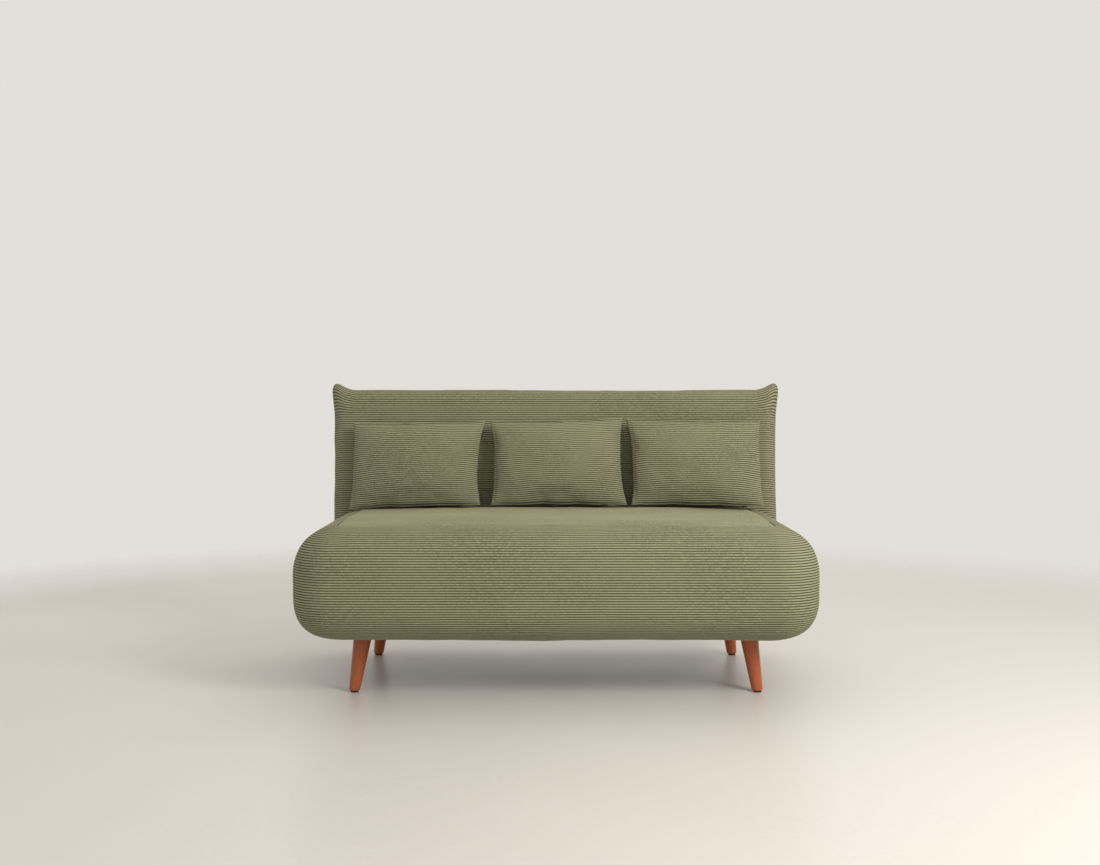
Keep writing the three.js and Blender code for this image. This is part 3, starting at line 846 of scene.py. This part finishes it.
def fill_pouch(name, seed, sizes):
    """Fills a sewn pouch by cloth simulation. Returns its front and rear as grids of points."""
    points, faces, front_index, rear_index = pouch(
        *POUCH_GRID, sizes.cushion_width * 1.01, sizes.cushion_height * 1.02, sizes.cushion_thickness * 0.40
    )
    points = points + 0.0010 * ripple(points, seed, 0.12)[:, None]
    mesh = bpy.data.meshes.new(name)
    mesh.from_pydata(points.tolist(), [], faces.tolist())
    bag = bpy.data.objects.new(name, mesh)
    bpy.context.scene.collection.objects.link(bag)
    fabric = bag.modifiers.new("Cloth", "CLOTH").settings
    fabric.quality = 8
    fabric.mass = 0.3
    fabric.tension_stiffness = 30.0
    fabric.compression_stiffness = 30.0
    fabric.shear_stiffness = 15.0
    fabric.bending_stiffness = 5.0
    fabric.use_pressure = True
    fabric.uniform_pressure_force = 4.0
    fabric.effector_weights.gravity = 0.0
    for step in range(1, POUCH_FRAMES + 1):
        bpy.context.scene.frame_set(step)
    graph = bpy.context.evaluated_depsgraph_get()
    filled = bag.evaluated_get(graph).data
    result = np.zeros(len(filled.vertices) * 3)
    filled.vertices.foreach_get("co", result)
    result = result.reshape(-1, 3)
    bpy.data.objects.remove(bag)
    bpy.data.meshes.remove(mesh)
    bpy.context.scene.frame_set(1)
    moved = result - points
    reach = np.linalg.norm(moved, axis=1, keepdims=True)
    moved *= np.minimum(1.0, 0.03 / np.maximum(reach, 1e-9))
    at_side = 1.0 - smoothstep(0.0, 0.05, sizes.cushion_width / 2 - np.abs(points[:, 0]))
    at_seam = 1.0 - smoothstep(0.0, 0.09, sizes.cushion_height / 2 - np.abs(points[:, 2]))
    held = np.maximum(0.3 * at_side, 0.85 * at_seam)
    result = points + moved * (1.0 - held)[:, None]
    return result[front_index], result[rear_index]


def cubic_weights(position, count):
    """Catmull-Rom neighbours and weights for positions along a row of count samples."""
    base = np.clip(np.floor(position).astype(int), 0, count - 2)
    t = position - base
    weights = np.stack(
        [
            -0.5 * t + t**2 - 0.5 * t**3,
            1.0 - 2.5 * t**2 + 1.5 * t**3,
            0.5 * t + 2.0 * t**2 - 1.5 * t**3,
            -0.5 * t**2 + 0.5 * t**3,
        ]
    )
    neighbours = np.stack([np.clip(base + k, 0, count - 1) for k in (-1, 0, 1, 2)])
    return neighbours, weights


def resample(grid, rows, columns):
    """A grid of points read at fractional rows and columns by cubic interpolation."""
    neighbours, weights = cubic_weights(rows, grid.shape[0])
    grid = sum(w[:, None, None] * grid[n] for n, w in zip(neighbours, weights))
    neighbours, weights = cubic_weights(columns, grid.shape[1])
    return sum(w[None, :, None] * grid[:, n] for n, w in zip(neighbours, weights))


def seat_level(x, y, sizes):
    """Height of the seat's upholstery over a point, ribs included."""
    low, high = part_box("seat_cover")
    middle = (low + high) / 2
    half = high - middle
    inset = np.minimum(half.x - np.abs(x - middle.x), half.y - np.abs(y - middle.y))
    fall = roll_fall(inset, sizes.seat_roll, sizes.seat_roll_top, SEAT_ROLL_POWER)
    return high.z - fall + crown(x, y, middle, half, sizes.seat_crown)


def soft_limit(value, limit, blend):
    """The value kept at or under the limit, easing in over a short distance."""
    over = value - limit
    return value - 0.5 * (over + np.sqrt(over**2 + blend**2))


class SOFA_OT_cushions(bpy.types.Operator):
    """Sew, fill and place the loose cushions, each with a zip in its lower seam"""

    bl_idname = "sofa.cushions"
    bl_label = "Loose Cushions"

    def execute(self, context):
        for number, side in enumerate(CUSHION_SIDES):
            self.make(context, side, 31 + number)
        return {"FINISHED"}

    def make(self, context, side, seed):
        """One cushion with its zip."""
        sizes = context.scene.sofa_sizes
        low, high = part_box("cushion_cover_" + side)
        centre = np.array((low + high) / 2)
        faces = fill_pouch("pouch_" + side, seed, sizes)
        every = np.concatenate([grid.reshape(-1, 3) for grid in faces])
        middle = (every.max(0) + every.min(0)) / 2
        target = np.array([sizes.cushion_width, sizes.cushion_thickness, sizes.cushion_height])
        scale = (target - 2 * sizes.wale_height) / (every.max(0) - every.min(0))
        placed = [self.place((grid - middle) * scale, sizes, centre, side) for grid in faces]
        fine = [self.ribbed(grid, sizes, sign) for grid, sign in zip(placed, (1.0, -1.0))]
        cover = grid_mesh("cushion_" + side, fine, finish_for(context.scene, "corduroy"), True)
        nodes = ("cushion_cover_" + side, "cushion_filling_" + side)
        settle(cover, "cushion_" + side, nodes)
        self.zip(context, side, placed[0][0])

    def ribbed(self, grid, sizes, sign):
        """One side of the cushion, resampled finely and ribbed along its own weave."""
        rows, columns = grid.shape[:2]
        wales = int(round(sizes.cushion_height * 1.06 / sizes.wale_pitch))
        phase = np.arange(wales * ROWS_PER_WALE + 1) / ROWS_PER_WALE
        across = phase / wales * (rows - 1)
        u = np.linspace(-1.0, 1.0, 90)
        spread = (0.55 * np.sin(u * math.pi / 2) + 0.45 * u + 1.0) / 2 * (columns - 1)
        points = resample(grid, across, spread)
        normals = grid_normals(points, False) * sign
        to_top = np.minimum(across, rows - 1 - across)[:, None] * sizes.cushion_height / rows
        to_side = np.minimum(spread, columns - 1 - spread)[None, :] * sizes.cushion_width / columns
        rim = np.minimum(to_top, to_side)
        ribs = sizes.wale_height * 0.9 * rib_height(phase)[:, None] * smoothstep(0.0, 0.006, rim)
        bead = 0.0012 * np.exp(-(((rim - 0.0035) / 0.0022) ** 2))
        furrow = 0.0014 * np.exp(-(((rim - 0.009) / 0.003) ** 2))
        soft = 0.0007 * ripple(points, 51, 0.05) * smoothstep(0.01, 0.05, rim)
        lift = (ribs + (bead - furrow) * (rim > 1e-6) + soft)[..., None]
        points = points + normals * lift
        shape = points.shape[:2]
        along = np.broadcast_to(spread / (columns - 1) * sizes.cushion_width, shape)
        grid = {
            "points": points,
            "across": np.broadcast_to((phase * sizes.wale_pitch)[:, None], shape),
            "along": along + (0.0 if sign > 0 else 1.0),
        }
        if sign < 0:
            grid = {key: values[:, ::-1] for key, values in grid.items()}
        return grid

    def place(self, points, sizes, centre, side):
        """Pulls the corners into place, leans the cushion, and flattens it where it rests."""
        u = np.clip(points[..., 0] / sizes.cushion_width + 0.5, 0.0, 1.0)
        v = np.clip(points[..., 2] / sizes.cushion_height + 0.5, 0.0, 1.0)
        offsets = np.array(CUSHION_CORNERS[side])
        shift = (
            offsets[0] * ((1 - u) * (1 - v))[..., None]
            + offsets[1] * (u * (1 - v))[..., None]
            + offsets[2] * ((1 - u) * v)[..., None]
            + offsets[3] * (u * v)[..., None]
        )
        left, right, top = CUSHION_PULL[side]
        bow = 1.0 - (2.0 * v - 1.0) ** 2
        pull = left * (1 - u) ** 2 - right * u**2
        fan = CUSHION_FAN * np.sin(2.0 * math.pi * (v - 0.5)) * ((2.0 * u - 1.0) ** 2 - 0.35)
        x = points[..., 0] + shift[..., 0] + pull * bow
        settled = 0.008 * (1.0 - v)
        z = points[..., 2] + shift[..., 1] + settled + fan - top * v**2 * (1.0 - (2.0 * u - 1.0) ** 2)
        y = points[..., 1]
        cosine, sine = math.cos(sizes.cushion_lean), math.sin(sizes.cushion_lean)
        placed = np.stack([x, y * cosine + z * sine, z * cosine - y * sine], axis=-1) + centre
        seat_top = seat_level(placed[..., 0], placed[..., 1], sizes) + sizes.wale_height
        placed[..., 2] = -soft_limit(-placed[..., 2], -seat_top, 0.004)
        return placed

    def zip(self, context, side, seam):
        """A zip along the lower seam: tape, teeth, and a slider with its pull tab at the right end."""
        sizes = context.scene.sofa_sizes
        travel = running_length(seam)
        start = (travel[-1] - ZIP_LENGTH) / 2
        at = start + np.linspace(0.0, ZIP_LENGTH, 121)
        line = np.stack([np.interp(at, travel, seam[:, axis]) for axis in range(3)], axis=1)
        tape = strip(line + [0.0, -0.0022, 0.0003], 0.0030, 0.0012)
        teeth = [block(point + [0.0, -0.0042, 0.0004], ZIP_TOOTH) for point in line[1:-1]]
        slider = line[-6] + [0.0, -0.0050, 0.0008]
        tab = slider + [0.004, -0.0024, -0.0002]
        parts = [tape, *teeth, block(slider, ZIP_SLIDER), block(tab, ZIP_TAB)]
        piece = grid_mesh("cushion_zip_" + side + "_sewn", parts, finish_for(context.scene, "zip"))
        settle(piece, "cushion_" + side, ("cushion_zip_" + side,))


def block(centre, size):
    """A closed box as a grid."""
    half = np.array(size) / 2
    square = np.array([[-1.0, -1.0], [1.0, -1.0], [1.0, 1.0], [-1.0, 1.0]])
    rings = [np.column_stack([square * half[:2], np.full(4, z)]) for z in (-half[2], half[2])]
    points = np.stack(rings) + centre
    return {"points": points, "wrap": True, "caps": [np.arange(4)[::-1], 4 + np.arange(4)]}


def strip(line, width, thickness):
    """A closed flat strip that follows a line running along X."""
    corners = ((-width, -thickness), (width, -thickness), (width, thickness), (-width, thickness))
    square = np.array([[0.0, across, up] for across, up in corners]) / 2
    points = line[:, None, :] + square[None]
    last = (len(line) - 1) * 4
    return {"points": points[:, ::-1], "wrap": True, "caps": [np.arange(4)[::-1], last + np.arange(4)]}


def end_centres(node):
    """Middles of the lowest and the highest face of a CAD node."""
    points = np.array([vertex.co for vertex in frame["nodes"][node].data.vertices])
    low, high = points[:, 2].min(), points[:, 2].max()
    ends = []
    for level in (low, high):
        rim = points[np.abs(points[:, 2] - level) < 1e-4]
        middle = (rim.max(0) + rim.min(0)) / 2
        ends.append((middle, (rim.max(0) - rim.min(0))[:2].min() / 2))
    return ends


def turned(name, axis_points, radii, segments, material):
    """A turned piece: level rings round an axis that may lean. Closed at both ends."""
    turn = np.linspace(0.0, 2.0 * math.pi, segments, endpoint=False)
    circle = np.stack([np.cos(turn), np.sin(turn), np.zeros(segments)], axis=1)
    points = axis_points[:, None, :] + radii[:, None, None] * circle[None]
    last = (len(radii) - 1) * segments
    grid = {
        "points": points,
        "wrap": True,
        "across": np.broadcast_to(turn, points.shape[:2]),
        "along": np.broadcast_to((axis_points[:, 2] * 10.0)[:, None], points.shape[:2]),
        "caps": [np.arange(segments)[::-1], last + np.arange(segments)],
    }
    return grid_mesh(name, [grid], material)


class SOFA_OT_legs(bpy.types.Operator):
    """Turn the four splayed legs and their glides"""

    bl_idname = "sofa.legs"
    bl_label = "Legs and Glides"

    def execute(self, context):
        wood = finish_for(context.scene, "lacquered_wood")
        plastic = finish_for(context.scene, "black_plastic")
        for corner in LEG_CORNERS:
            (foot, foot_radius), (head, head_radius) = end_centres("leg_" + corner)
            step = np.concatenate([[0.0, 0.006, 0.013], np.linspace(0.03, 1.0, 24)])
            ease = np.array([0.0016, 0.0005, 0.0])
            radii = foot_radius + (1.08 * head_radius - foot_radius) * step
            radii[:3] -= ease
            axis = foot + (head - foot) * step[:, None]
            leg = turned("leg_" + corner + "_turned", axis, radii, 72, wood)
            settle(leg, SOFA_BODY, ("leg_" + corner,))

            low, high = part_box("leg_glide_" + corner)
            middle = (low + high) / 2
            radius = (high.x - low.x) / 2
            levels = np.array([0.0, 0.04, 0.18, 0.55, 0.9, 1.0])
            widths = radius * np.array([0.84, 0.92, 0.98, 1.0, 0.98, 0.93])
            axis = np.array([[middle.x, middle.y, low.z + (high.z - low.z) * t] for t in levels])
            glide = turned("glide_" + corner, axis, widths, 48, plastic)
            settle(glide, SOFA_BODY, ("leg_glide_" + corner,))
        return {"FINISHED"}


class SOFA_OT_underside(bpy.types.Operator):
    """Close the underside with a stapled dust cloth"""

    bl_idname = "sofa.underside"
    bl_label = "Dust Cloth and Staples"

    def execute(self, context):
        low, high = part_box("dust_cover")
        middle = (low + high) / 2
        half_x, half_y = (high.x - low.x) / 2, (high.y - low.y) / 2
        x = np.linspace(-half_x, half_x, 130)
        reach = half_y - np.clip(np.abs(x) - (half_x - DUST_CLOTH_CUT), 0.0, None)
        v = np.linspace(-1.0, 1.0, 52)
        grid_x, grid_v = np.meshgrid(x, v, indexing="ij")
        grid_y = grid_v * reach[:, None]
        rim = np.minimum(half_x - np.abs(grid_x), reach[:, None] - np.abs(grid_y))
        flat = np.stack([grid_x, grid_y, np.zeros_like(grid_x)], axis=-1)
        crease = 0.0007 * ripple(flat, 41, 0.05) * smoothstep(0.004, 0.04, rim)
        hem = 0.0008 * (1.0 - smoothstep(0.016, 0.019, rim))
        level = high.z - 0.0004 - 0.004 * smoothstep(0.02, 0.20, rim) + crease - hem
        lower = np.stack([grid_x, grid_y, level - middle.z - 0.0006], axis=-1)
        upper = np.stack([grid_x, grid_y, level - middle.z], axis=-1)
        skin = np.hstack([upper, lower[:, ::-1]]) + np.array(middle)
        columns = skin.shape[1]
        ends = [np.arange(columns), (len(x) - 1) * columns + np.arange(columns)[::-1]]
        sheet = grid_mesh(
            "dust_cloth", [{"points": skin[:, ::-1], "wrap": True, "caps": ends}],
            finish_for(context.scene, "dust_cloth"),
        )
        settle(sheet, SOFA_BODY, ("dust_cover",))
        self.staples(context, middle, half_x, half_y)
        return {"FINISHED"}

    def staples(self, context, middle, half_x, half_y):
        """Staples round the cloth's edge, a hand's breadth apart and never quite straight."""
        chance = np.random.default_rng(43)
        edge = 0.009
        spots = []
        for sign in (-1, 1):
            for x in np.arange(DUST_CLOTH_CUT - half_x, half_x - DUST_CLOTH_CUT, STAPLE_SPACING):
                spots.append((x, sign * (half_y - edge), 0.0))
            for y in np.arange(DUST_CLOTH_CUT - half_y, half_y - DUST_CLOTH_CUT, STAPLE_SPACING):
                spots.append((sign * (half_x - edge), y, math.pi / 2))
        wires = []
        for x, y, turn in spots:
            wire = block((0.0, 0.0, 0.0), STAPLE)
            spin = turn + chance.uniform(-0.35, 0.35)
            cosine, sine = math.cos(spin), math.sin(spin)
            turned_by = np.array([[cosine, sine, 0.0], [-sine, cosine, 0.0], [0.0, 0.0, 1.0]])
            points = wire["points"] @ turned_by
            offset = [middle.x + x, middle.y + y, middle.z - 0.0020]
            wire["points"] = points + offset + chance.uniform(-0.002, 0.002, 3) * [1.0, 1.0, 0.0]
            wires.append(wire)
        piece = grid_mesh("dust_cloth_staples", wires, finish_for(context.scene, "zinc_steel"))
        settle(piece, SOFA_BODY)


class SOFA_OT_inner_frame(bpy.types.Operator):
    """Give the timber, springs, bolts, felt and webbing inside their finishes"""

    bl_idname = "sofa.inner_frame"
    bl_label = "Inner Frame Finishes"

    def execute(self, context):
        slots = {entry["node"]: entry["material_slot"] for entry in frame["record"]["subparts"]}
        for name, node in frame["nodes"].items():
            material = finish_for(context.scene, slots[name])
            node.data.materials.clear()
            node.data.materials.append(material)
        return {"FINISHED"}


class SOFA_OT_studio(bpy.types.Operator):
    """Set the floor, the soft lights and the camera"""

    bl_idname = "sofa.studio"
    bl_label = "Studio"

    def execute(self, context):
        scene = context.scene
        self.floor(scene)
        self.surround(scene)
        for settings in LIGHTS:
            self.light(*settings)
        self.camera(scene)
        scene.view_settings.view_transform = "Standard"
        return {"FINISHED"}

    def floor(self, scene):
        """A wide disc whose colour turns softly into the surround's."""
        rings, segments = 40, 96
        reach = FLOOR_RADIUS * np.linspace(0.02, 1.0, rings) ** 1.5
        turn = np.linspace(0.0, 2.0 * math.pi, segments, endpoint=False)
        points = np.stack(
            [
                reach[:, None] * np.cos(turn),
                reach[:, None] * np.sin(turn),
                np.zeros((rings, segments)),
            ],
            axis=-1,
        )
        finish = Finish("studio_floor", 0.3)
        speck = finish.noise(finish.place(), 60.0, 4.0, 0.6)
        cloud = finish.noise(finish.place(), 1.3, 2.0, 0.5)
        colours = scene.sofa_colours
        tone = finish.mix(finish.spread(speck, 0.42, 0.6), rgba(colours.floor, 0.97), rgba(colours.floor))
        tone = finish.mix(finish.spread(cloud, 0.3, 0.7), tone, rgba(colours.floor, 0.98))
        finish.base(tone)
        finish.rough(finish.spread(cloud, 0.3, 0.7, 0.32, 0.42))
        finish.bump(speck, 0.0003, 0.2)
        middle = finish.node("ShaderNodeVectorMath", {"operation": "LENGTH"})
        finish.feed(middle.inputs[0], finish.place())
        fade = finish.spread(middle.outputs["Value"], *FLOOR_FADE, 1.0, 0.0)
        finish.feed(finish.shader.inputs["Alpha"], fade)
        disc = {"points": points, "wrap": True, "caps": [np.arange(segments)[::-1]]}
        floor = grid_mesh("studio_floor", [disc], finish.material)

    def surround(self, scene):
        """An even pale surround that also fills the shadows."""
        world = bpy.data.worlds.new("studio")
        world.use_nodes = True
        background = world.node_tree.nodes["Background"]
        background.inputs["Color"].default_value = rgba(scene.sofa_colours.sky)
        background.inputs["Strength"].default_value = 1.0
        scene.world = world

    def light(self, name, place, aim, size, power, tint):
        """A square soft light turned towards a point."""
        data = bpy.data.lights.new(name, "AREA")
        data.size = size
        data.energy = power
        data.color = tint
        lamp = bpy.data.objects.new(name, data)
        lamp.location = place
        lamp.visible_camera = False
        lamp.visible_glossy = False
        lamp.rotation_euler = (Vector(aim) - Vector(place)).to_track_quat("-Z", "Y").to_euler()
        bpy.context.scene.collection.objects.link(lamp)

    def camera(self, scene):
        """A level view from the front, a little above the seat."""
        data = bpy.data.cameras.new("camera")
        data.sensor_width = 36.0
        data.lens = CAMERA_LENS
        camera = bpy.data.objects.new("camera", data)
        camera.location = CAMERA_PLACE
        camera.rotation_euler = (math.radians(90.0) + CAMERA_TILT, 0.0, 0.0)
        scene.collection.objects.link(camera)
        scene.camera = camera


OPERATORS = (
    SOFA_OT_seat,
    SOFA_OT_back,
    SOFA_OT_cushions,
    SOFA_OT_legs,
    SOFA_OT_underside,
    SOFA_OT_inner_frame,
    SOFA_OT_studio,
)


class SOFA_PT_builder(bpy.types.Panel):
    """Sizes, colours and the operators that build the sofa"""

    bl_idname = "SOFA_PT_builder"
    bl_label = "Corduroy Sofa"
    bl_space_type = "VIEW_3D"
    bl_region_type = "UI"
    bl_category = "Sofa"

    def draw(self, context):
        layout = self.layout
        for group in (context.scene.sofa_sizes, context.scene.sofa_colours):
            column = layout.column(align=True)
            for name in group.__annotations__:
                column.prop(group, name)
        for operator in OPERATORS:
            layout.operator(operator.bl_idname)


CLASSES = (SofaSizes, SofaColours, *OPERATORS, SOFA_PT_builder)


def register():
    """Registers the classes and hangs the settings on the scene."""
    for item in CLASSES:
        bpy.utils.register_class(item)
    bpy.types.Scene.sofa_sizes = bpy.props.PointerProperty(type=SofaSizes)
    bpy.types.Scene.sofa_colours = bpy.props.PointerProperty(type=SofaColours)


def unregister():
    """Removes the settings and the classes."""
    del bpy.types.Scene.sofa_colours
    del bpy.types.Scene.sofa_sizes
    for item in reversed(CLASSES):
        bpy.utils.unregister_class(item)


def main():
    """Builds the whole sofa."""
    register()
    bpy.ops.sofa.studio()
    bpy.ops.sofa.inner_frame()
    bpy.ops.sofa.seat()
    bpy.ops.sofa.back()
    bpy.ops.sofa.cushions()
    bpy.ops.sofa.legs()
    bpy.ops.sofa.underside()


if __name__ == "__main__":
    main()
